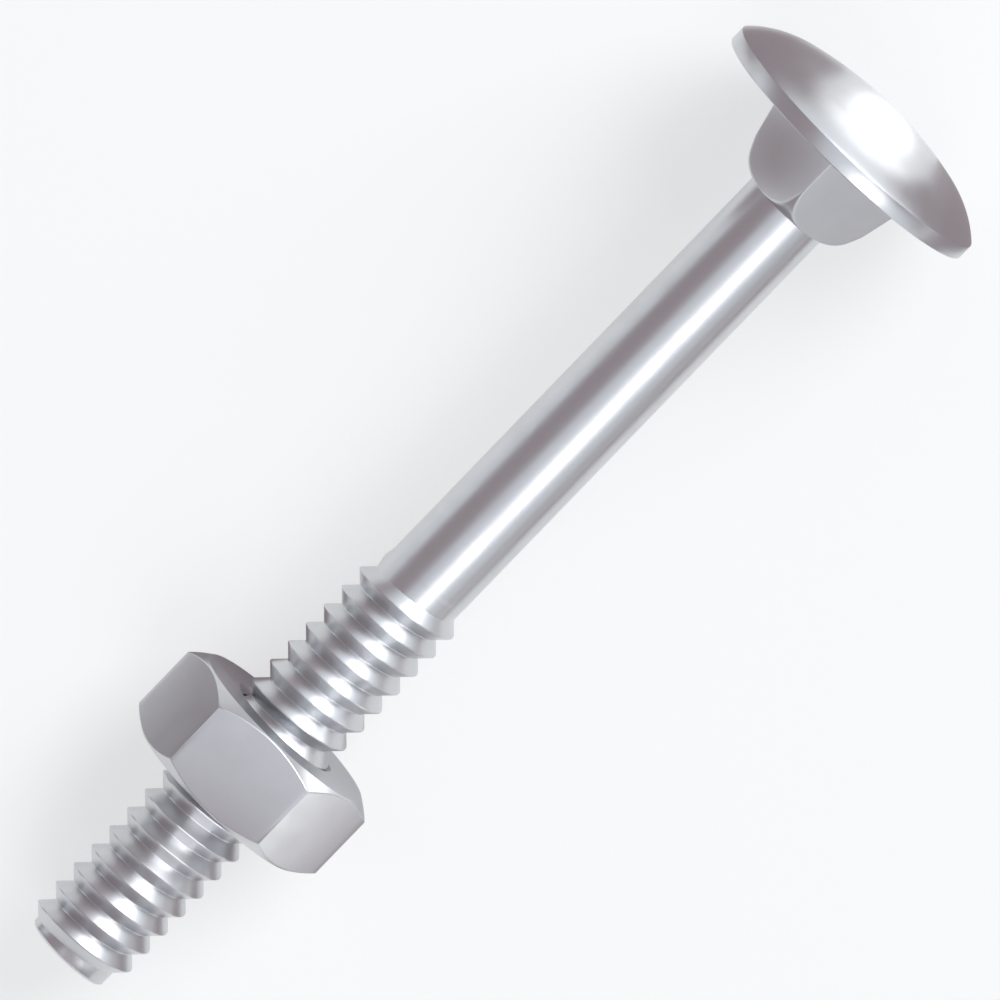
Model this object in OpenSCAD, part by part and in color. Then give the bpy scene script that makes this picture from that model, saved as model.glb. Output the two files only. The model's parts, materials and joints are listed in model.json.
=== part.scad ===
// Carriage bolt with a hexagon nut on its thread.
// Each piece is first drawn about the bolt's own axis: Z = 0 is the bearing face under the head,
// the head is above it and the tip is below. lay_down() then rests the bolt on a surface at Z = 0,
// on the rim of its head and one flat of the nut, with the head towards +X.

/* [Head] */
// Diameter of the head
head_d = 16.26; // [14.5:0.02:20]
// Height of the head above its bearing face
head_h = 3.07; // [2.7:0.01:4.2]
// Height of the upright band round the rim
rim_h = 0.86; // [0.5:0.01:1.3]
// Width of the bevel on the rim's upper edge
rim_bevel = 0.13; // [0.05:0.01:0.25]
// Radius of the dome's crown
crown_r = 21.5; // [18:0.5:30]
// Angle from the axis at which the crown runs into the rounder shoulder
crown_angle = 15; // [8:1:16]

/* [Square neck] */
// Length of the neck, with its rounded nose
neck_len = 4.42; // [3.4:0.02:7]
// Width across the neck's flats where it meets the head
neck_w = 6.33; // [5.6:0.01:8]
// Draft of each flat, towards the shank, in degrees
neck_draft = 9.4; // [4:0.1:10]
// Radius that rounds the neck's lower corners into its nose
nose_r = 1.7; // [1.2:0.05:2.2]

/* [Shank and thread] */
// Length of the bolt under its head
bolt_len = 58.6; // [50:0.1:120]
// Diameter of the plain shank
shank_d = 4.82; // [4.6:0.01:4.95]
// Outside diameter of the thread
thread_d = 6; // [5.6:0.01:6.8]
// Diameter at the bottom of the thread
core_d = 4.8; // [4.4:0.01:5.1]
// Distance from one thread crest to the next
pitch = 1.35; // [1.1:0.01:1.6]
// Length of thread from the tip to its run-out
thread_len = 26.3; // [24:0.1:34]
// Width of the flat on the thread's crest
crest_w = 0.08; // [0.04:0.01:0.16]
// Width of the flat at the bottom of the thread
root_w = 0.08; // [0.04:0.01:0.16]
// Length of the plain end past the thread
tip_len = 0.35; // [0.3:0.01:1.2]
// Bevel round the end face of the tip
tip_bevel = 0.12; // [0.05:0.01:0.2]

/* [Nut] */
// Width of the nut across its flats
nut_w = 11; // [9.5:0.1:14]
// Thickness of the nut
nut_h = 5.1; // [4:0.1:8]
// Length of the bolt that stands out past the nut
tip_out = 11.4; // [6:0.1:15]
// Diameter of the nut's round bearing face
nut_face_d = 10.8; // [9:0.1:12]
// Angle of the nut's corner chamfers from its faces
nut_chamfer = 35; // [20:1:45]
// Diameter of the countersink at each end of the nut's thread
countersink_d = 6.5; // [6.3:0.05:7.5]
// Full angle of the countersinks
countersink_angle = 120; // [105:1:130]
// Diameter of the nut's hole between its threads
nut_bore_d = 5.2; // [5:0.01:5.4]
// Clearance between the flanks of the two threads
thread_gap = 0.08; // [0.04:0.01:0.1]

/* [Hidden] */

head_r = head_d / 2;
shank_r = shank_d / 2;
core_r = core_d / 2;
thread_r = thread_d / 2;
bore_r = nut_bore_d / 2;
steel = [0.74, 0.76, 0.78];

// Roundness of revolved shapes, degrees between the facets of an arc, and rows of facets in a thread's turn
$fn = 96;
arc_step = 2.5;
rows_per_turn = 32;
// How far one shape runs into the next where the two are one piece of metal or one opening
sink = 0.5;

// The nose leaves the shank, from nose_inset under its surface, at nose_low degrees from square to the axis.
// Its arc ends at nose_high degrees and runs straight on
nose_inset = 0.1;
nose_low = 12;
nose_high = 65;

// Flank of the thread: its depth, and how far it runs along the axis
flank_depth = thread_r - core_r;
flank_run = (pitch - crest_w - root_w) / 2;
// Sideways room that a gap square to the flank needs along the axis
flank_room = thread_gap * norm([flank_depth, flank_run]) / flank_depth;

// The thread's crest lies at thread_top where the turn count is 0, and turns count down to the tip.
// It fades out over runout_turns above that and over tip_runout_turns at the tip
thread_top = thread_len - bolt_len;
runout_turns = 0.3;
tip_turn = (tip_len - bolt_len + crest_w / 2 + flank_run - thread_top) / pitch;
tip_runout_turns = 0.2;
// Turns by which a threaded bar outlasts the piece that is cut from it, past its ragged ends
spare_turns = 1.6;

// The plain shank starts half a pitch past the run-out, and the plain tip ends short of the last flank
shank_low = thread_top + (runout_turns + 1 / 2) * pitch;
tip_lap = tip_len / 4;
tip_high = tip_len - tip_lap - bolt_len;

// Distance from the head's bearing face to the nut's
grip = bolt_len - tip_out - nut_h;
// Where the flats of the nut end, above its tip-side face
nut_flat_inset = max(0, (nut_w - nut_face_d) / 2) * tan(nut_chamfer);
nut_foot = grip + nut_h - nut_flat_inset;

// The bolt lies on its rim's lower edge and on the tip-side edge of the nut's flat
lay_tilt = atan((head_r - nut_w / 2) / nut_foot);
lay_height = head_r * cos(lay_tilt);
lay_front = crown_r + (head_h - crown_r) * cos(lay_tilt);
lay_back = -bolt_len * cos(lay_tilt) - (shank_r - tip_bevel) * sin(lay_tilt);

// Points on an arc about a centre, by angles measured from the axis direction
function arc(centre, r, from, to) =
    let (steps = ceil(abs(to - from) / arc_step))
    [for (i = [0:steps]) let (a = from + (to - from) * i / steps) centre + r * [sin(a), cos(a)]];

// Height of the thread as a share of its full depth, fading at the run-out and at the tip
function thread_share(turn) =
    max(0, min(1, 1 - turn / runout_turns, 1 - (tip_turn - turn) / tip_runout_turns));

// Four points of the thread's section at one turn count: lower root, crest from edge to edge, upper root
function thread_section(turn, root_r, crest_r, half_crest, half_base) =
    let (
        z = thread_top + pitch * turn,
        side = [cos(360 * turn), sin(360 * turn)]
    )
    [
        [side.x * root_r, side.y * root_r, z - half_base],
        [side.x * crest_r, side.y * crest_r, z - half_crest],
        [side.x * crest_r, side.y * crest_r, z + half_crest],
        [side.x * root_r, side.y * root_r, z + half_base]
    ];

// A round bar with a right-hand thread between two turn counts.
// Its two ends are ragged, so it is made longer than the piece that is cut from it
module threaded_bar(first_turn, last_turn, root_r, crest_r, half_crest, half_base, faded = false) {
    per = rows_per_turn;
    rows = ceil((last_turn - first_turn) * per);
    start = floor(first_turn * per) / per;
    points = [
        for (i = [0:rows])
            let (turn = start + i / per, share = faded ? thread_share(turn) : 1)
            each thread_section(turn, root_r, root_r + (crest_r - root_r) * share, half_crest, half_base)
    ];
    low = len(points);
    high = low + 1;
    low_end = [0, 0, thread_top + pitch * start];
    high_end = [0, 0, thread_top + pitch * (start + rows / per)];
    strips = [
        for (i = [0:rows - 1], j = [0:2])
            let (a = 4 * i + j, b = a + 4)
            each [[a, a + 1, b + 1], [a, b + 1, b]]
    ];
    roots = [
        for (i = [0:rows - per - 1])
            let (a = 4 * i + 3, b = 4 * (i + per))
            each [[a, b, b + 4], [a, b + 4, a + 4]]
    ];
    low_loop = concat([for (i = [0:per]) 4 * i], [3, 2, 1]);
    high_loop = concat([for (i = [0:per]) 4 * (rows - i) + 3], [4 * rows, 4 * rows + 1, 4 * rows + 2]);
    low_cap = [for (i = [0:len(low_loop) - 1]) [low, low_loop[i], low_loop[(i + 1) % len(low_loop)]]];
    high_cap = [for (i = [0:len(high_loop) - 1]) [high, high_loop[i], high_loop[(i + 1) % len(high_loop)]]];
    polyhedron(
        points = concat(points, [low_end, high_end]),
        faces = concat(strips, roots, low_cap, high_cap)
    );
}

// Domed head: bearing face, upright rim with a bevel, rounder shoulder and a shallow crown
module head() {
    // Straight out from the dome's surface where the crown meets the shoulder
    out = [sin(crown_angle), cos(crown_angle)];
    crown_centre = [0, head_h - crown_r];
    join = crown_centre + crown_r * out;
    edge = [head_r - rim_bevel, rim_h + rim_bevel];
    // The shoulder's arc leaves the crown smoothly and ends on the rim's bevel
    chord = edge - join;
    shoulder_r = -(chord * chord) / (2 * (chord * out));
    shoulder_centre = join - shoulder_r * out;
    shoulder_end = atan2(edge.x - shoulder_centre.x, edge.y - shoulder_centre.y);
    shoulder = arc(shoulder_centre, shoulder_r, shoulder_end, crown_angle);
    crown = arc(crown_centre, crown_r, crown_angle, 0);
    rotate_extrude()
        polygon(concat(
            [[0, 0], [head_r, 0], [head_r, rim_h]],
            shoulder,
            [for (i = [1:len(crown) - 1]) crown[i]]
        ));
}

// Square neck: four drafted flats with a corner towards the top and bottom of the lying bolt
module neck_block() {
    top_w = neck_w + 2 * sink * tan(neck_draft);
    low_w = neck_w - 2 * neck_len * tan(neck_draft);
    outline = [
        [-low_w / 2, -neck_len], [low_w / 2, -neck_len],
        [top_w / 2, sink], [-top_w / 2, sink]
    ];
    rotate([0, 0, 45])
        intersection_for (turn = [0, 90])
            rotate([90, 0, turn])
                linear_extrude(2 * neck_w, center = true)
                    polygon(outline);
}

// Rounded nose that cuts the neck's lower corners off and leads into the shank
module neck_nose() {
    start = [shank_r - nose_inset, -neck_len];
    centre = start + nose_r * [-sin(nose_low), cos(nose_low)];
    bend = arc(centre, nose_r, 180 - nose_low, 180 - nose_high);
    last = bend[len(bend) - 1];
    rise = sink - last.y;
    rotate_extrude()
        polygon(concat(
            [[0, -neck_len]],
            bend,
            [[last.x + rise / tan(nose_high), sink], [0, sink]]
        ));
}

module neck() {
    intersection() {
        neck_block();
        neck_nose();
    }
}

module shank() {
    translate([0, 0, shank_low]) cylinder(r = shank_r, h = sink - shank_low);
}

// Thread cut square to its length, from just inside the plain tip to just inside the shank
module thread() {
    low = tip_high - tip_lap;
    half_crest = crest_w / 2;
    intersection() {
        threaded_bar(
            tip_turn - tip_runout_turns - spare_turns, runout_turns + spare_turns,
            core_r, thread_r, half_crest, half_crest + flank_run, faded = true
        );
        translate([0, 0, low]) cylinder(r = thread_r + sink, h = shank_low + tip_lap - low);
    }
}

module tip() {
    translate([0, 0, -bolt_len]) {
        cylinder(r1 = shank_r - tip_bevel, r2 = shank_r, h = tip_bevel);
        translate([0, 0, tip_bevel]) cylinder(r = shank_r, h = tip_high + bolt_len - tip_bevel);
    }
}

// Rests an upright piece on the rim of the head and one flat of the nut
module lay_down() {
    translate([-(lay_front + lay_back) / 2, 0, lay_height])
        rotate([0, 90 - lay_tilt, 0])
            children();
}

module bolt() {
    color(steel)
        lay_down() {
            head();
            neck();
            shank();
            thread();
            tip();
        }
}

// Blank of the nut: a hexagon whose corners are turned away to a cone at both faces
module nut_blank() {
    wide_d = nut_face_d + 2 * nut_h / tan(nut_chamfer);
    intersection() {
        rotate([0, 0, 30]) cylinder(d = nut_w / cos(30), h = nut_h, $fn = 6);
        cylinder(d1 = nut_face_d, d2 = wide_d, h = nut_h);
        cylinder(d1 = wide_d, d2 = nut_face_d, h = nut_h);
    }
}

// Tapped hole: the bolt's own thread, widened all round by the clearance
module tapped_hole() {
    tap_slope = flank_run / flank_depth;
    half_crest = crest_w / 2 + flank_room - thread_gap * tap_slope;
    half_base = crest_w / 2 + flank_room + (thread_r - bore_r) * tap_slope;
    threaded_bar(
        (-grip - nut_h - thread_top) / pitch - spare_turns,
        (-grip - thread_top) / pitch + spare_turns,
        bore_r, thread_r + thread_gap, half_crest, half_base
    );
}

// Countersink of a hole that opens upwards at Z = 0, from inside the hole to just above its mouth
module countersink() {
    spread = tan(countersink_angle / 2);
    depth = (countersink_d / 2 - bore_r + sink) / spread;
    translate([0, 0, -depth])
        cylinder(r1 = bore_r - sink, r2 = countersink_d / 2 + sink * spread, h = depth + sink);
}

module nut() {
    color(steel)
        lay_down()
            difference() {
                translate([0, 0, -grip - nut_h]) nut_blank();
                tapped_hole();
                translate([0, 0, -grip]) countersink();
                translate([0, 0, -grip - nut_h]) mirror([0, 0, 1]) countersink();
            }
}

bolt();
nut();
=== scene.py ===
"""Finished surfaces of a carriage bolt and its hexagon nut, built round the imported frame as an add-on."""

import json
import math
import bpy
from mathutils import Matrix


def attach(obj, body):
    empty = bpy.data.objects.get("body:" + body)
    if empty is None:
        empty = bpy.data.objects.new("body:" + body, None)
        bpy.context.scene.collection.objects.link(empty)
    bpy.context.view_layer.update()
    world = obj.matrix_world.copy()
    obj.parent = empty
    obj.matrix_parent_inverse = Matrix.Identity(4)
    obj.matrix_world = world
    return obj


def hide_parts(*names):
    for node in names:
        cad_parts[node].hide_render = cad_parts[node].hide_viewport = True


bl_info = {
    "name": "Carriage Bolt",
    "version": (1, 0, 0),
    "blender": (4, 5, 0),
    "location": "3D View > Sidebar > Bolt",
    "description": "Models a zinc-plated carriage bolt with its hexagon nut, and a studio to show it in",
    "category": "Add Mesh",
}

import bmesh
import bpy
from bpy.props import FloatProperty, FloatVectorProperty, IntProperty, PointerProperty
from bpy.types import Operator, Panel, PropertyGroup
from mathutils import Matrix, Vector

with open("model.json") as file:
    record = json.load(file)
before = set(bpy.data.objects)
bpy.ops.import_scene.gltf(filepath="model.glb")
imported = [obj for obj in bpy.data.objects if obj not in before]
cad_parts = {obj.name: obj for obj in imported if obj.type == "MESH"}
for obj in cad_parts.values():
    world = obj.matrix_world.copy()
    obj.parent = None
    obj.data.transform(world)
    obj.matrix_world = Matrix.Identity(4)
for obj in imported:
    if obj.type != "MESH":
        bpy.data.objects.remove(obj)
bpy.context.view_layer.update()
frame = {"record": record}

MM = 0.001
FULL_TURN = 2 * math.pi
# Points closer than this are one point
WELD = 0.001 * MM
# Faces that meet at more than this angle keep a hard edge between them
HARD_ANGLE = math.radians(32)
# Rows of faces along each curved stretch
SOFT_ROWS = 3
NOSE_ROWS = 16
NECK_ROWS = 40
SHOULDER_ROWS = 24
CROWN_ROWS = 16
SINK_ROWS = 8
# Height of the ring of faces that joins the bolt's turned end to its thread
SEAM = 0.1 * MM
# Width of the floor
FLOOR_W = 3.0
# Height over the floor of the cards that lie on it; the reflectors lie at twice that
CARD_HEIGHT = 0.2 * MM
# Middle of the bolt, at which the studio's cards and lamps aim, in millimetres
MIDDLE = (0, 0, 6)

# The frame gives where the bolt lies: the middle of its head's bearing face and its axis towards the head
MOUNTS = {mount["name"]: mount for mount in frame["record"]["mounts"]}
HEAD_SEAT = Vector(MOUNTS["head_seat"]["pos_m"])
BOLT_AXIS = -Vector(MOUNTS["head_seat"]["axis"]).normalized()
BOLT_SIDE = Vector((0, 1, 0))
BOLT_UP = BOLT_AXIS.cross(BOLT_SIDE)
NUT_SEAT_HEIGHT = (Vector(MOUNTS["nut_seat"]["pos_m"]) - HEAD_SEAT).dot(BOLT_AXIS)


def linear(code):
    """Linear colour, with full alpha, of an sRGB hex code."""
    channels = [int(code[i:i + 2], 16) / 255 for i in (0, 2, 4)]
    return [c / 12.92 if c <= 0.04045 else ((c + 0.055) / 1.055) ** 2.4 for c in channels] + [1.0]


def length(name, description, millimetres):
    """A length property, given in millimetres and kept in metres."""
    return FloatProperty(
        name=name, description=description, default=millimetres * MM, min=0, unit="LENGTH", precision=5
    )


def share(name, description, part):
    """A property that is a share of 1."""
    return FloatProperty(name=name, description=description, default=part, min=0, max=1, subtype="FACTOR")


def angle(name, description, degrees):
    """An angle property, given in degrees."""
    return FloatProperty(name=name, description=description, default=math.radians(degrees), unit="ROTATION")


def colour(name, description, code):
    """A colour property, given as an sRGB hex code."""
    return FloatVectorProperty(
        name=name, description=description, default=linear(code), size=4, min=0, max=1, subtype="COLOR"
    )


class BoltSizes(PropertyGroup):
    """Sizes of the bolt, as a maker would measure them"""

    head_d: length("Head diameter", "Diameter of the domed head", 16.26)
    head_h: length("Head height", "Height of the head above its bearing face", 3.07)
    head_soft: length("Head edge radius", "Radius on the lower edge of the rim", 0.07)
    rim_h: length("Rim height", "Height of the upright band round the head", 0.86)
    rim_bevel: length("Rim bevel", "Width of the bevel on the rim's upper edge", 0.13)
    crown_r: length("Crown radius", "Radius of the shallow middle of the dome", 21.5)
    crown_angle: angle("Crown angle", "Angle from the axis where the crown meets the shoulder", 15)
    neck_len: length("Neck length", "Length of the square neck with its nose", 4.42)
    neck_w: length("Neck width", "Width across the neck's flats at the head", 6.33)
    neck_draft: angle("Neck draft", "Taper of each flat of the neck", 9.4)
    neck_crisp: FloatProperty(
        name="Neck crispness", description="Sharpness of the neck's corners", default=140, min=8
    )
    nose_r: length("Nose radius", "Radius that rounds the neck's lower corners", 1.7)
    nose_inset: length("Nose inset", "Depth under the shank's surface where the nose starts", 0.1)
    nose_low: angle("Nose start", "Slope of the nose where it leaves the shank", 12)
    nose_high: angle("Nose end", "Slope of the nose where its arc ends", 65)
    bolt_len: length("Length", "Length of the bolt under its head", 58.6)
    shank_d: length("Shank diameter", "Diameter of the plain shank", 4.82)
    tip_len: length("Tip length", "Length of the plain end past the thread", 0.35)
    tip_bevel: length("Tip bevel", "Bevel round the end face", 0.12)
    tip_soft: length("Tip edge radius", "Radius on the edges of the tip's bevel", 0.03)
    columns: IntProperty(name="Columns", description="Facets round the bolt", default=192, min=48)


class ThreadSizes(PropertyGroup):
    """Sizes of the thread that the bolt and the nut share"""

    thread_d: length("Outside diameter", "Diameter over the thread's crests", 6.0)
    core_d: length("Core diameter", "Diameter at the bottom of the thread", 4.8)
    pitch: length("Pitch", "Distance from one crest to the next", 1.35)
    thread_len: length("Thread length", "Length of thread from the tip to its run-out", 26.3)
    # The frame's solids have flats of 0.08 mm. These are finer, as the picture shows them
    crest_w: length("Crest width", "Width of the flat on the crest", 0.06)
    root_w: length("Root width", "Width of the flat at the bottom", 0.05)
    crest_soft: length("Crest radius", "Radius on the edges of the crest", 0.015)
    root_soft: length("Root radius", "Radius at the bottom of the thread", 0.02)
    gap: length("Clearance", "Clearance between the flanks of bolt and nut", 0.08)
    runout: share("Run-out", "Part of a turn over which the thread fades at the shank", 0.3)
    tip_runout: share("Tip run-out", "Part of a turn over which the thread fades at the tip", 0.2)


class NutSizes(PropertyGroup):
    """Sizes of the hexagon nut"""

    nut_w: length("Width", "Width across the flats", 11.0)
    nut_h: length("Thickness", "Thickness of the nut", 5.1)
    face_d: length("Face diameter", "Diameter of the round bearing face", 10.8)
    chamfer: angle("Chamfer angle", "Angle of the corner chamfers from the faces", 35)
    bore_d: length("Bore diameter", "Diameter of the hole between its threads", 5.2)
    sink_d: length("Countersink diameter", "Diameter of the countersinks at the faces", 6.5)
    sink_angle: angle("Countersink angle", "Full angle of the countersinks", 120)
    edge_soft: length("Edge width", "Width of the worn-smooth edges", 0.05)
    columns: IntProperty(
        name="Columns", description="Facets round the nut, a multiple of 12", default=192, min=48
    )


class FinishColours(PropertyGroup):
    """Colours and gloss of the bright zinc plate"""

    zinc: colour("Zinc", "Bright zinc plate", "D4D6D9")
    zinc_deep: colour("Zinc, deeper", "Plate where it lies thicker and duller", "CBCDD0")
    gloss: share("Roughness", "Roughness of the plate", 0.32)
    # The real grain is about 0.01 mm, too fine to show, so it is drawn coarser
    grain: length("Grain", "Size of the plate's fine grain", 0.12)
    cloud: length("Clouding", "Size of the soft patches in the plate", 1.6)
    ripple: length("Ripple", "Depth of the plate's faint ripple", 0.002)


class StudioSettings(PropertyGroup):
    """Camera and light of the studio"""

    picture_turn: angle("Turn", "Slope of the bolt's axis across the picture", 45.97)
    head_lean: angle("Lean", "Lean of the head towards the viewer", 9.04)
    seat_across: share("Seat across", "Where the head's seat is, from the picture's left", 0.8456)
    seat_down: share("Seat down", "Where the head's seat is, from the picture's top", 0.1482)
    picture_w: length("Picture width", "Width that the picture covers at the head", 51.49)
    lens: FloatProperty(name="Lens", description="Focal length", default=1000, min=1, unit="CAMERA")
    floor: colour("Floor", "Pale floor", "F7F7F8")
    floor_fill: share("Floor fill", "Share of plain white where the floor is seen", 0.6)
    air: colour("Surroundings", "Tone of the surroundings", "F4F9FE")
    ambient: share("Ambient", "Level of the even light on the object", 0.45)
    surround: share("Surround", "Level of the surroundings where they are seen", 1.0)
    mauve: colour("Mauve card", "Tone of the dark cards that the metal mirrors", "A4989C")
    deep: colour("Deep card", "Tone of the darkest cards that the metal mirrors", "857A7F")
    grey: colour("Grey card", "Tone of the overhead card that the metal mirrors", "E8EAF0")
    pale: colour("Pale card", "Tone of the card that the nut's face mirrors", "C8C7CB")


def arc(centre, radius, start, end, steps):
    """Points (radius, height) on an arc about a centre, by angles measured from the axis."""
    angles = [start + (end - start) * i / steps for i in range(steps + 1)]
    return [centre + radius * Vector((math.sin(a), math.cos(a))) for a in angles]


def outline(corners):
    """Points of an outline from (radius, height, rounding) corners; 0 leaves a corner as it is."""
    spots = [Vector(corner[:2]) for corner in corners]
    points = []
    for i, (spot, corner) in enumerate(zip(spots, corners)):
        soft = corner[2]
        if not soft:
            points.append(spot)
            continue
        back = (spots[i - 1] - spot).normalized()
        on = (spots[i + 1] - spot).normalized()
        half = back.angle(on) / 2
        centre = spot + (back + on).normalized() * soft / math.sin(half)
        first = spot + back * soft / math.tan(half) - centre
        last = spot + on * soft / math.tan(half) - centre
        turned = [first.slerp(last, row / SOFT_ROWS).normalized() for row in range(SOFT_ROWS + 1)]
        points += [centre + first.length * way for way in turned]
    return points


def chain(bm, points):
    """A chain of edges through (radius, height) points, in the plane of the axis."""
    verts = [bm.verts.new((point.x, 0, point.y)) for point in points]
    edges = [bm.edges.new(pair) for pair in zip(verts, verts[1:])]
    return verts + edges


def revolve(bm, points, columns):
    """Turns an outline once round the axis and adds the shell to the mesh."""
    shell = bmesh.new()
    bmesh.ops.spin(
        shell, geom=chain(shell, points), cent=(0, 0, 0), axis=(0, 0, 1), angle=FULL_TURN, steps=columns,
        use_merge=True,
    )
    weld(shell)
    join(bm, shell)


def join(bm, other):
    """Moves another mesh into this one."""
    carrier = bpy.data.meshes.new("carrier")
    other.to_mesh(carrier)
    other.free()
    bm.from_mesh(carrier)
    bpy.data.meshes.remove(carrier)


def wind(bm, points, bottom, turns, pitch, columns):
    """Winds an outline one pitch high up the axis, right-handed, and welds each turn to the next."""
    raised = [point + Vector((0, bottom)) for point in points]
    bmesh.ops.spin(
        bm, geom=chain(bm, raised), cent=(0, 0, 0), axis=(0, 0, 1),
        dvec=(0, 0, pitch / columns), angle=FULL_TURN, steps=columns,
    )
    first_turn = [*bm.verts, *bm.edges, *bm.faces]
    for turn in range(1, turns):
        copy = bmesh.ops.duplicate(bm, geom=first_turn)["geom"]
        verts = [part for part in copy if isinstance(part, bmesh.types.BMVert)]
        bmesh.ops.translate(bm, vec=(0, 0, turn * pitch), verts=verts)
    weld(bm)


def weld(bm):
    """Merges points that lie on each other."""
    bmesh.ops.remove_doubles(bm, verts=bm.verts, dist=WELD)


def cut(bm, height, **clear):
    """Cuts level through the mesh, and clears what lies above (clear_outer) or below (clear_inner)."""
    bmesh.ops.bisect_plane(
        bm, geom=[*bm.verts, *bm.edges, *bm.faces], dist=WELD / 10,
        plane_co=(0, 0, height), plane_no=(0, 0, 1), **clear,
    )


def open_rims(bm, *heights):
    """Edges of the open rims at the given heights."""
    return [
        edge for edge in bm.edges
        if edge.is_boundary and any(all(abs(v.co.z - h) < WELD for v in edge.verts) for h in heights)
    ]


def even_rim(bm, height, columns):
    """Draws an open round rim's spare points onto its columns, so that it bridges evenly to another."""
    step = FULL_TURN / columns
    for vert in {vert for edge in open_rims(bm, height) for vert in edge.verts}:
        turn = round(math.atan2(vert.co.y, vert.co.x) / step) * step
        push_out(vert, vert.co.xy.length, turn)
    weld(bm)


def bridge(bm, *heights):
    """Joins the two open rims at the given heights."""
    bmesh.ops.bridge_loops(bm, edges=open_rims(bm, *heights))


def flat_face(bm, height):
    """Closes the level ring between the two open rims at one height."""
    bmesh.ops.triangle_fill(bm, edges=open_rims(bm, height), use_beauty=True, use_dissolve=False)


def flat_ring(bm, height, inner_r, width):
    """Widens the hole's rim by a narrow flat ring, so that its soft edge stays off the flat face."""
    rim = [edge for edge in open_rims(bm, height) if edge.verts[0].co.xy.length < inner_r + width]
    ring = bmesh.ops.extrude_edge_only(bm, edges=rim)["geom"]
    for vert in (part for part in ring if isinstance(part, bmesh.types.BMVert)):
        push_out(vert, inner_r + width, math.atan2(vert.co.y, vert.co.x))


def push_out(vert, reach, turn):
    """Moves a point to a distance and a turn about the axis, and keeps its height."""
    vert.co.x = reach * math.cos(turn)
    vert.co.y = reach * math.sin(turn)


def thread_outline(thread, root_r, crest_r, half_crest, half_base):
    """Outline of one pitch of thread, crest in the middle, from root to root."""
    half = thread.pitch / 2
    crest, root = thread.crest_soft, thread.root_soft
    return outline([
        (root_r, -half, 0), (root_r, -half_base, root), (crest_r, -half_crest, crest),
        (crest_r, half_crest, crest), (root_r, half_base, root), (root_r, half, 0),
    ])


def thread_top(bolt, thread):
    """Height of the crest where the turn count is 0."""
    return thread.thread_len - bolt.bolt_len


def fade_thread(bm, bolt, thread):
    """Lets the thread die away into its core at the shank and at the tip."""
    top = thread_top(bolt, thread)
    core_r = thread.core_d / 2
    flank_run = (thread.pitch - thread.crest_w - thread.root_w) / 2
    tip_turn = (bolt.tip_len - bolt.bolt_len + thread.crest_w / 2 + flank_run - top) / thread.pitch
    for vert in bm.verts:
        x, y, z = vert.co
        angle_turns = math.atan2(y, x) / FULL_TURN
        turn = angle_turns + round((z - top) / thread.pitch - angle_turns)
        left = min(1, 1 - turn / thread.runout, 1 - (tip_turn - turn) / thread.tip_runout)
        reach = core_r + (math.hypot(x, y) - core_r) * max(0, left)
        push_out(vert, reach, math.atan2(y, x))


def square_neck(bm, bolt):
    """Presses the round neck to four drafted flats, with its columns drawn towards the corners."""
    # How far the columns crowd at the corners: 0 leaves them even, and 1 takes them all there
    crowding = 0.75
    # Points farther out than this are the head's
    neck_reach = bolt.neck_w
    power = bolt.neck_crisp
    for vert in bm.verts:
        x, y, z = vert.co
        reach = math.hypot(x, y)
        if not (-bolt.neck_len <= z < WELD and bolt.shank_d / 2 + WELD < reach < neck_reach):
            continue
        turn = math.atan2(y, x)
        turn -= crowding * math.sin(4 * turn) / 4
        flat = bolt.neck_w / 2 + z * math.tan(bolt.neck_draft)
        across = [math.cos(turn - math.pi / 4), math.sin(turn - math.pi / 4)]
        limits = [flat / reach] + [abs(part) for part in across]
        reach = flat * sum(limit ** power for limit in limits) ** (-1 / power)
        push_out(vert, max(reach, bolt.shank_d / 2), turn)


def head_end_outline(bolt, foot):
    """Outline from the foot of the plain shank over the nose, the neck, the bearing face and the dome."""
    shank_r = bolt.shank_d / 2
    head_r = bolt.head_d / 2
    # Nose: an arc that rises out of the shank's surface, then straight on to the head
    start = Vector((shank_r - bolt.nose_inset, -bolt.neck_len))
    centre = start + bolt.nose_r * Vector((-math.sin(bolt.nose_low), math.cos(bolt.nose_low)))
    rise = math.pi - math.asin((shank_r - centre.x) / bolt.nose_r)
    nose = arc(centre, bolt.nose_r, rise, math.pi - bolt.nose_high, NOSE_ROWS)
    top = nose[-1] + Vector((-nose[-1].y / math.tan(bolt.nose_high), -nose[-1].y))
    flank = [nose[-1].lerp(top, row / NECK_ROWS) for row in range(1, NECK_ROWS + 1)]
    # Dome: a rounder shoulder from the rim's bevel, then a shallow crown
    slope = Vector((math.sin(bolt.crown_angle), math.cos(bolt.crown_angle)))
    crown_centre = Vector((0, bolt.head_h - bolt.crown_r))
    meet = crown_centre + bolt.crown_r * slope
    edge = Vector((head_r - bolt.rim_bevel, bolt.rim_h + bolt.rim_bevel))
    chord = edge - meet
    shoulder_r = -chord.length_squared / (2 * chord.dot(slope))
    shoulder_centre = meet - shoulder_r * slope
    out = edge - shoulder_centre
    shoulder = arc(
        shoulder_centre, shoulder_r, math.atan2(out.x, out.y), bolt.crown_angle, SHOULDER_ROWS
    )
    crown = arc(crown_centre, bolt.crown_r, bolt.crown_angle, 0, CROWN_ROWS)
    # Rim: rounded less at its bevel than at its foot, where a flat ring leads up to it
    bevel_soft = bolt.head_soft / 2
    ring = 8 * bolt.head_soft
    rim = outline([
        (head_r - ring, 0, 0), (head_r, 0, bolt.head_soft),
        (head_r, bolt.rim_h, bevel_soft), (*edge, bevel_soft), (*shoulder[1], 0),
    ])
    return [Vector((shank_r, foot)), *nose, *flank, *rim, *shoulder[2:], *crown[1:]]


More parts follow.
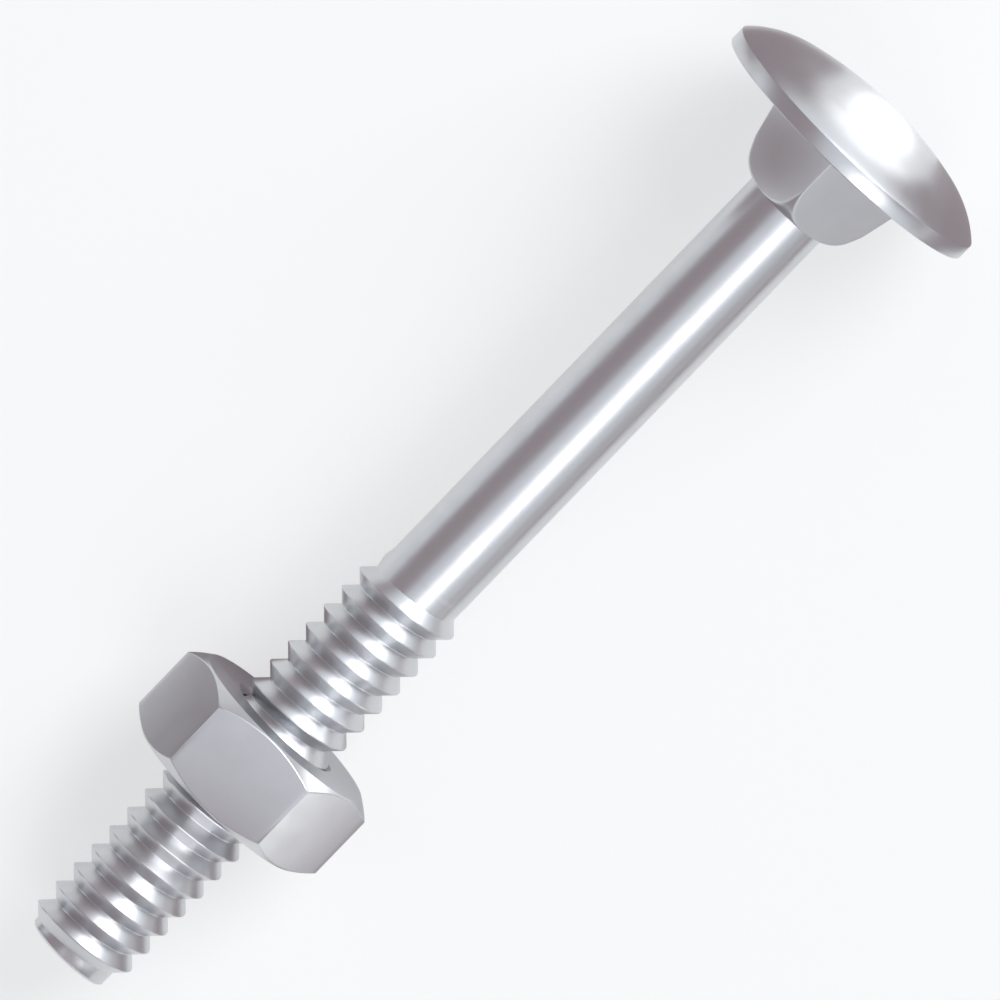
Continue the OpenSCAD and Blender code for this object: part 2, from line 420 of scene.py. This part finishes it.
def model_bolt(bm, bolt, thread):
    """Models the bolt about its own axis, bearing face at height 0."""
    half_base = (thread.pitch - thread.root_w) / 2
    profile = thread_outline(
        thread, thread.core_d / 2, thread.thread_d / 2, thread.crest_w / 2, half_base
    )
    top = thread_top(bolt, thread)
    tip_seam = bolt.tip_len / 2 - bolt.bolt_len
    # The thread's shell goes half a turn past the run-out, where only its core is left
    core_turns = 0.5
    shank_seam = top + (thread.runout + core_turns) * thread.pitch
    # It is wound longer than that at both ends, then cut to length
    spare = 1
    first = math.floor((tip_seam - top) / thread.pitch) - spare
    wind(bm, profile, top + first * thread.pitch, 2 * spare - first, thread.pitch, bolt.columns)
    cut(bm, shank_seam, clear_outer=True)
    cut(bm, tip_seam, clear_inner=True)
    fade_thread(bm, bolt, thread)
    even_rim(bm, shank_seam, bolt.columns)
    even_rim(bm, tip_seam, bolt.columns)
    revolve(bm, head_end_outline(bolt, shank_seam + SEAM), bolt.columns)
    square_neck(bm, bolt)
    bridge(bm, shank_seam, shank_seam + SEAM)
    shank_r = bolt.shank_d / 2
    revolve(bm, outline([
        (shank_r, tip_seam - bolt.tip_soft, 0), (shank_r, bolt.tip_bevel - bolt.bolt_len, bolt.tip_soft),
        (shank_r - bolt.tip_bevel, -bolt.bolt_len, bolt.tip_soft), (0, -bolt.bolt_len, 0),
    ]), bolt.columns)
    bridge(bm, tip_seam, tip_seam - bolt.tip_soft)


def model_nut(bm, nut, bolt, thread):
    """Models the nut about the bolt's axis, its middle at height 0, then raises it to its place."""
    half_h = nut.nut_h / 2
    face_r = nut.face_d / 2
    middle = NUT_SEAT_HEIGHT - half_h
    # Outside: a round blank whose wall is then pressed to the hexagon, and the chamfers' edges with it
    wall_h = half_h - nut.edge_soft
    blank = [(face_r, -half_h), (nut.nut_w / 2, -wall_h), (nut.nut_w / 2, wall_h), (face_r, half_h)]
    revolve(bm, [Vector(point) for point in blank], nut.columns)
    sixth = FULL_TURN / 6
    for vert in bm.verts:
        x, y, z = vert.co
        if abs(z) > wall_h + WELD:
            continue
        turn = math.atan2(y, x)
        off_middle = (turn + sixth / 2) % sixth - sixth / 2
        reach = nut.nut_w / 2 / math.cos(off_middle)
        push_out(vert, reach, turn)
        vert.co.z = math.copysign(half_h - (reach - face_r) * math.tan(nut.chamfer), z)
    # Edges sharper than this are worn smooth
    worn_angle = math.radians(15)
    ridges = [edge for edge in bm.edges if edge.is_manifold and edge.calc_face_angle() > worn_angle]
    bmesh.ops.bevel(
        bm, geom=ridges, offset=nut.edge_soft, offset_type="OFFSET", segments=SOFT_ROWS, profile=0.5,
        affect="EDGES", clamp_overlap=True, material=-1,
    )
    # Hole: the bolt's own thread, wider by the clearance, opened by a cone at both faces
    depth = (thread.thread_d - thread.core_d) / 2
    slope = (thread.pitch - thread.crest_w - thread.root_w) / 2 / depth
    sideways = thread.gap * math.hypot(1, slope)
    bore_r = nut.bore_d / 2
    profile = thread_outline(
        thread, bore_r, thread.thread_d / 2 + thread.gap,
        thread.crest_w / 2 + sideways - thread.gap * slope,
        thread.crest_w / 2 + sideways + (thread.thread_d / 2 - bore_r) * slope,
    )
    hole = bmesh.new()
    top = thread_top(bolt, thread)
    # It is wound longer than the nut at both ends, on half the columns, then cut to length
    spare = 2
    first = math.floor((middle - half_h - top) / thread.pitch) - spare
    turns = math.ceil(nut.nut_h / thread.pitch) + 2 * spare
    wind(hole, profile, top + first * thread.pitch - middle, turns, thread.pitch, nut.columns // 2)
    cut(hole, half_h, clear_outer=True)
    cut(hole, -half_h, clear_inner=True)
    spread = math.tan(nut.sink_angle / 2)
    sink_h = (nut.sink_d / 2 - bore_r) / spread
    for row in range(1, SINK_ROWS):
        for side in (1, -1):
            cut(hole, side * (half_h - sink_h * row / SINK_ROWS))
    for vert in hole.verts:
        x, y, z = vert.co
        cone_r = nut.sink_d / 2 - (half_h - abs(z)) * spread
        push_out(vert, max(math.hypot(x, y), cone_r), math.atan2(y, x))
    join(bm, hole)
    for face in (half_h, -half_h):
        flat_ring(bm, face, nut.sink_d / 2, nut.edge_soft)
        flat_face(bm, face)
    bmesh.ops.translate(bm, vec=(0, 0, middle), verts=bm.verts)


def lay_down():
    """Matrix that takes a piece from the bolt's own axis to where the frame holds it."""
    return Matrix.Translation(HEAD_SEAT) @ Matrix((-BOLT_UP, BOLT_SIDE, BOLT_AXIS)).transposed().to_4x4()


def finish_piece(bm, name, node, material):
    """Closes a modelled piece, turns its faces outwards and stands it in for its CAD node."""
    weld(bm)
    if not all(edge.is_manifold for edge in bm.edges):
        raise RuntimeError(f"{name} is not closed")
    bmesh.ops.recalc_face_normals(bm, faces=bm.faces)
    for face in bm.faces:
        face.smooth = True
    for edge in bm.edges:
        edge.smooth = edge.calc_face_angle() < HARD_ANGLE
    bmesh.ops.transform(bm, matrix=lay_down(), verts=bm.verts)
    mesh = bpy.data.meshes.new(name)
    bm.to_mesh(mesh)
    bm.free()
    mesh.materials.append(material)
    piece = bpy.data.objects.new(name, mesh)
    bpy.context.scene.collection.objects.link(piece)
    piece.modifiers.new("Even shading", "WEIGHTED_NORMAL").keep_sharp = True
    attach(piece, node)
    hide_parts(node)


def add(tree, kind, inputs=None, **settings):
    """Adds one node, with its settings and with its inputs set to values or linked to sockets."""
    made = tree.nodes.new(kind)
    for name, value in settings.items():
        setattr(made, name, value)
    for key, value in (inputs or {}).items():
        if isinstance(value, bpy.types.NodeSocket):
            tree.links.new(value, made.inputs[key])
        else:
            made.inputs[key].default_value = value
    return made


def zinc_plate(name, finish, drawn):
    """Bright zinc plate on cold-forged steel: smooth and cool grey, softly clouded, with a fine grain.

    drawn is how many times longer than wide the grain is, along the bolt's axis.
    """
    # The clouds' values lie mostly between these two
    cloud_low = 0.3
    cloud_high = 0.7
    # How much smoother or rougher than the rest the clouds are
    gloss_swing = 0.03
    material = bpy.data.materials.new(name)
    material.use_nodes = True
    tree = material.node_tree
    tree.nodes.clear()
    place = add(tree, "ShaderNodeTexCoord")
    lean = math.atan2(BOLT_AXIS.x, BOLT_AXIS.z)
    upright = add(tree, "ShaderNodeMapping", {
        "Vector": place.outputs["Object"], "Rotation": (0, -lean, 0),
    })
    stretched = add(tree, "ShaderNodeMapping", {
        "Vector": upright.outputs["Vector"], "Scale": (1, 1, 1 / drawn),
    })
    clouds = add(tree, "ShaderNodeTexNoise", {
        "Vector": upright.outputs["Vector"], "Scale": 1 / finish.cloud, "Detail": 3.0, "Roughness": 0.5,
    })
    grain = add(tree, "ShaderNodeTexNoise", {
        "Vector": stretched.outputs["Vector"], "Scale": 1 / finish.grain, "Detail": 4.0, "Roughness": 0.6,
    })
    # A mix of colours has them on its inputs 6 and 7, and gives its own on output 2
    tone = add(tree, "ShaderNodeMix", {
        0: clouds.outputs["Fac"], 6: finish.zinc, 7: finish.zinc_deep,
    }, data_type="RGBA")
    duller = add(tree, "ShaderNodeMapRange", {
        "Value": clouds.outputs["Fac"], "From Min": cloud_low, "From Max": cloud_high,
        "To Min": finish.gloss - gloss_swing, "To Max": finish.gloss + gloss_swing,
    })
    ripple = add(tree, "ShaderNodeBump", {
        "Height": grain.outputs["Fac"], "Strength": 0.5, "Distance": finish.ripple,
    })
    steel = add(tree, "ShaderNodeBsdfPrincipled", {
        "Base Color": tone.outputs[2], "Metallic": 1.0,
        "Roughness": duller.outputs["Result"], "Normal": ripple.outputs["Normal"],
    })
    add(tree, "ShaderNodeOutputMaterial", {"Surface": steel.outputs["BSDF"]})
    return material


class BOLT_OT_model_bolt(Operator):
    """Model the bolt as one forging: domed head, square neck, plain shank, rolled thread and tip"""

    bl_idname = "carriage_bolt.model_bolt"
    bl_label = "Model Bolt"

    def execute(self, context):
        scene = context.scene
        bm = bmesh.new()
        model_bolt(bm, scene.bolt_sizes, scene.thread_sizes)
        material = zinc_plate("zinc_plated_bolt", scene.finish_colours, drawn=12)
        finish_piece(bm, "carriage_bolt", "bolt", material)
        return {"FINISHED"}


class BOLT_OT_model_nut(Operator):
    """Model the hexagon nut with its chamfers, countersinks and tapped hole"""

    bl_idname = "carriage_bolt.model_nut"
    bl_label = "Model Nut"

    def execute(self, context):
        scene = context.scene
        bm = bmesh.new()
        model_nut(bm, scene.nut_sizes, scene.bolt_sizes, scene.thread_sizes)
        material = zinc_plate("zinc_plated_nut", scene.finish_colours, drawn=1)
        finish_piece(bm, "hexagon_nut", "nut", material)
        return {"FINISHED"}


def place_camera(scene, studio):
    """Looks down on the lying bolt through a very long lens, as the picture does."""
    # It sees from a tenth of its distance to ten times as far
    clip = 10
    to_viewer = BOLT_AXIS * math.sin(studio.head_lean) + BOLT_UP * math.cos(studio.head_lean)
    along = BOLT_AXIS * math.cos(studio.head_lean) - BOLT_UP * math.sin(studio.head_lean)
    across = along.cross(to_viewer)
    right = along * math.cos(studio.picture_turn) + across * math.sin(studio.picture_turn)
    up = along * math.sin(studio.picture_turn) - across * math.cos(studio.picture_turn)
    middle = HEAD_SEAT - right * (studio.seat_across - 0.5) * studio.picture_w
    middle -= up * (0.5 - studio.seat_down) * studio.picture_w
    camera = bpy.data.objects.new("camera", bpy.data.cameras.new("camera"))
    camera.data.lens = studio.lens
    distance = studio.picture_w * camera.data.lens / camera.data.sensor_width
    camera.matrix_world = Matrix((right, up, to_viewer)).transposed().to_4x4()
    camera.location = middle + to_viewer * distance
    camera.data.clip_start = distance / clip
    camera.data.clip_end = distance * clip
    scene.collection.objects.link(camera)
    scene.camera = camera


def towards(turn, rise):
    """Direction by its turn about the vertical from the head's side and its rise, in degrees."""
    turn, rise = math.radians(turn), math.radians(rise)
    return Vector((math.cos(turn) * math.cos(rise), math.sin(turn) * math.cos(rise), math.sin(rise)))


def facing(turn, rise, distance, aim):
    """Place of a board or lamp that faces a point from a direction; distance and aim in millimetres."""
    back = towards(turn, rise)
    spin = back.to_track_quat("Z", "Y").to_matrix().to_4x4()
    return Matrix.Translation((Vector(aim) + back * distance) * MM) @ spin


def soft_lamp(scene, name, shape, place, wide, tall, shine):
    """A soft lamp with a face of that shape. shine is how bright its face is, where 1 is white."""
    fill = {"RECTANGLE": 1, "ELLIPSE": math.pi / 4}
    data = bpy.data.lights.new(name, "AREA")
    data.shape = shape
    data.size = wide * MM
    data.size_y = tall * MM
    data.energy = shine * math.pi * fill[shape] * data.size * data.size_y
    lamp = bpy.data.objects.new(name, data)
    lamp.matrix_world = place
    lamp.visible_camera = False
    scene.collection.objects.link(lamp)


def place_lamp(scene, name, turn, rise, distance, wide, tall, shine, aim=MIDDLE):
    """A lamp that faces the bolt. Lengths are in millimetres."""
    soft_lamp(scene, name, "RECTANGLE", facing(turn, rise, distance, aim), wide, tall, shine)


def lay_lamp(scene, name, x, y, shine):
    """An oval lamp on the floor that faces up, as a white reflector does, from x to x and y to y."""
    middle = Vector((sum(x) / 2 * MM, sum(y) / 2 * MM, 2 * CARD_HEIGHT))
    place = Matrix.Translation(middle) @ Matrix.Rotation(math.pi, 4, "X")
    soft_lamp(scene, name, "ELLIPSE", place, x[1] - x[0], y[1] - y[0], shine)


def board(scene, name, material, place, wide, tall):
    """A flat board of the studio, with its sizes in metres."""
    bm = bmesh.new()
    bmesh.ops.create_grid(bm, x_segments=1, y_segments=1, size=0.5)
    bmesh.ops.scale(bm, vec=(wide, tall, 1), verts=bm.verts)
    mesh = bpy.data.meshes.new(name)
    bm.to_mesh(mesh)
    bm.free()
    mesh.materials.append(material)
    made = bpy.data.objects.new(name, mesh)
    made.matrix_world = place
    scene.collection.objects.link(made)
    return made


def card(scene, name, material, place, wide, tall):
    """A card that is seen only where the metal mirrors it, with its sizes in millimetres."""
    made = board(scene, name, material, place, wide * MM, tall * MM)
    made.visible_camera = False
    made.visible_diffuse = False
    made.visible_shadow = False


def stand_card(scene, name, material, turn, rise, distance, wide, tall, aim=MIDDLE):
    """A card that faces the bolt. Lengths are in millimetres."""
    card(scene, name, material, facing(turn, rise, distance, aim), wide, tall)


def lay_card(scene, name, material, corner, along, across, turn=0):
    """A card just over the floor, in millimetres.

    It reaches from a corner along the direction of turn, in degrees, and across to the left of that.
    """
    spin = Matrix.Rotation(math.radians(turn), 4, "Z")
    middle = Matrix.Translation((along / 2 * MM, across / 2 * MM, 0))
    place = Matrix.Translation((corner[0] * MM, corner[1] * MM, CARD_HEIGHT)) @ spin @ middle
    card(scene, name, material, place, along, abs(across))


def seen_directly(tree):
    """1 for the camera's rays and for what metal or glass shows, and 0 for the light on the object."""
    path = add(tree, "ShaderNodeLightPath")
    seen = path.outputs["Is Camera Ray"]
    for ray in ("Is Glossy Ray", "Is Transmission Ray"):
        seen = add(tree, "ShaderNodeMath", {0: seen, 1: path.outputs[ray]}, operation="MAXIMUM").outputs[0]
    return seen


def floor_material(studio):
    """Matt white board: it keeps the object's shadow, with a share of plain white where it is seen."""
    material = bpy.data.materials.new("matt_white_board")
    material.use_nodes = True
    tree = material.node_tree
    tree.nodes.clear()
    matt = add(tree, "ShaderNodeBsdfDiffuse", {"Color": studio.floor})
    part = add(tree, "ShaderNodeMath", {
        0: seen_directly(tree), 1: studio.floor_fill,
    }, operation="MULTIPLY")
    white = add(tree, "ShaderNodeEmission", {"Color": linear("FFFFFF"), "Strength": 1.0})
    both = add(tree, "ShaderNodeMixShader", {0: part.outputs[0], 1: matt.outputs[0], 2: white.outputs[0]})
    add(tree, "ShaderNodeOutputMaterial", {"Surface": both.outputs[0]})
    return material


def card_material(name, tone):
    """Plain card of one even tone."""
    material = bpy.data.materials.new(name)
    material.use_nodes = True
    tree = material.node_tree
    tree.nodes.clear()
    even = add(tree, "ShaderNodeEmission", {"Color": tone, "Strength": 1.0})
    add(tree, "ShaderNodeOutputMaterial", {"Surface": even.outputs[0]})
    return material


def studio_world(studio):
    """White surroundings where they are seen, and a softer even light on the object."""
    world = bpy.data.worlds.new("studio")
    world.use_nodes = True
    tree = world.node_tree
    tree.nodes.clear()
    level = add(tree, "ShaderNodeMapRange", {
        "Value": seen_directly(tree), "To Min": studio.ambient, "To Max": studio.surround,
    })
    back = add(tree, "ShaderNodeBackground", {"Color": studio.air, "Strength": level.outputs["Result"]})
    add(tree, "ShaderNodeOutputWorld", {"Surface": back.outputs["Background"]})
    return world


def set_cards(scene, studio):
    """Sets out the cards whose tones the metal mirrors."""
    mauve = card_material("mauve_card", studio.mauve)
    grey = card_material("grey_card", studio.grey)
    deep = card_material("deep_card", studio.deep)
    pale = card_material("pale_card", studio.pale)
    # Shank: its broad dark band, and the grey over it
    stand_card(scene, "card_left", mauve, turn=92, rise=45, distance=120, wide=300, tall=130)
    stand_card(scene, "card_top", grey, turn=90, rise=77, distance=200, wide=500, tall=160)
    # Surfaces that face the tip, the head's left end, and the neck's left flat
    stand_card(scene, "card_tip", mauve, turn=180, rise=34, distance=120, wide=250, tall=130)
    stand_card(scene, "card_head_left", mauve, turn=42, rise=10, distance=120, wide=60, tall=90)
    stand_card(
        scene, "card_neck", mauve, turn=112, rise=-5, distance=8.5, wide=4.5, tall=5,
        aim=(25.5, 2.5, 9.9),
    )
    # Dome: its dark left and right
    lay_card(scene, "card_front_left", mauve, corner=(32.5, 3), along=110, across=60, turn=17)
    lay_card(scene, "card_front_right", mauve, corner=(30, -3.7), along=110, across=-60, turn=-17)
    # Right edge of the shank
    lay_card(scene, "card_right", mauve, corner=(-12, -22), along=42, across=-58)
    # Nut: its left and right flats, its bearing face on both sides of the thread, and its middle flat
    lay_card(scene, "card_nut_left", deep, corner=(-45, 16.5), along=32, across=33.5)
    lay_card(scene, "card_nut_right", mauve, corner=(-28, -18.5), along=14, across=11.5)
    lay_card(scene, "card_nut_face_left", deep, corner=(-15.5, -2), along=5, across=12)
    lay_card(scene, "card_nut_face_right", pale, corner=(-15.5, -2), along=5, across=-8)
    stand_card(
        scene, "card_over_nut", mauve, turn=-90, rise=90, distance=30, wide=12.5, tall=22,
        aim=(-28.8, -9, 0),
    )
    # Thread: its flanks mirror what is overhead and to the head's side, down to both horizons
    stand_card(
        scene, "card_over_thread", deep, turn=-90, rise=90, distance=700, wide=460, tall=580,
        aim=(165, 190, 0),
    )
    stand_card(
        scene, "card_beside_key", deep, turn=-90, rise=57, distance=800, wide=460, tall=500,
        aim=(165, 0, 6),
    )
    stand_card(
        scene, "card_under_key", deep, turn=-90, rise=27, distance=800, wide=460, tall=360,
        aim=(165, 0, 6),
    )
    stand_card(
        scene, "card_beside_left", deep, turn=90, rise=10, distance=800, wide=450, tall=450,
        aim=(205, 0, 6),
    )
    stand_card(
        scene, "card_low_right", mauve, turn=-90, rise=3, distance=800, wide=660, tall=260,
        aim=(120, 0, 6),
    )


def set_lamps(scene):
    """Sets out the soft lamps, which light the bolt and are mirrored in it."""
    # The white line along the shank and the thread
    place_lamp(
        scene, "key", turn=-90, rise=57, distance=800, wide=450, tall=370, shine=2.6,
        aim=(-295, 0, 6),
    )
    # The head's bright middle
    place_lamp(scene, "head_side", turn=-16, rise=40, distance=800, wide=440, tall=620, shine=5)
    # The nut's bright corner, and the turns of thread that the nut shades from the head's side
    place_lamp(
        scene, "chamfer_side", turn=-24, rise=-20, distance=4.8, wide=3.3, tall=2, shine=1.7,
        aim=(-14.5, -3.5, 10.5),
    )
    place_lamp(
        scene, "thread_top", turn=-90, rise=90, distance=10.6, wide=5, tall=5, shine=1.2,
        aim=(-22, -1.4, 0),
    )
    # The dome's bright oval, and the light side of the nut's right flat
    lay_lamp(scene, "bounce", x=(32.5, 45.5), y=(-3.6, 2.2), shine=1.2)
    lay_lamp(scene, "bounce_far", x=(42, 130), y=(-13, 9), shine=1.05)
    lay_lamp(scene, "bounce_nut", x=(-26.5, -13.5), y=(-28.5, -20.5), shine=1)


class BOLT_OT_set_studio(Operator):
    """Set up the camera, the pale floor and the soft studio light"""

    bl_idname = "carriage_bolt.set_studio"
    bl_label = "Set Studio"

    def execute(self, context):
        scene = context.scene
        studio = scene.studio_settings
        place_camera(scene, studio)
        scene.view_settings.view_transform = "Standard"
        scene.world = studio_world(studio)
        board(scene, "floor", floor_material(studio), Matrix.Identity(4), FLOOR_W, FLOOR_W)
        set_cards(scene, studio)
        set_lamps(scene)
        return {"FINISHED"}


class BOLT_PT_sidebar(Panel):
    """Sidebar panel that lists the bolt's steps and sizes"""

    bl_label = "Carriage Bolt"
    bl_idname = "BOLT_PT_sidebar"
    bl_space_type = "VIEW_3D"
    bl_region_type = "UI"
    bl_category = "Bolt"

    def draw(self, context):
        for step in STEPS:
            self.layout.operator(step.bl_idname)
        for name, group in GROUPS.items():
            box = self.layout.box()
            for key in group.__annotations__:
                box.prop(getattr(context.scene, name), key)


GROUPS = {
    "bolt_sizes": BoltSizes,
    "thread_sizes": ThreadSizes,
    "nut_sizes": NutSizes,
    "finish_colours": FinishColours,
    "studio_settings": StudioSettings,
}
STEPS = (BOLT_OT_set_studio, BOLT_OT_model_bolt, BOLT_OT_model_nut)
CLASSES = (*GROUPS.values(), *STEPS, BOLT_PT_sidebar)


def register():
    for each in CLASSES:
        bpy.utils.register_class(each)
    for name, group in GROUPS.items():
        setattr(bpy.types.Scene, name, PointerProperty(type=group))


def unregister():
    for name in GROUPS:
        delattr(bpy.types.Scene, name)
    for each in reversed(CLASSES):
        bpy.utils.unregister_class(each)


def main():
    register()
    bpy.ops.carriage_bolt.set_studio()
    bpy.ops.carriage_bolt.model_bolt()
    bpy.ops.carriage_bolt.model_nut()


if __name__ == "__main__":
    main()
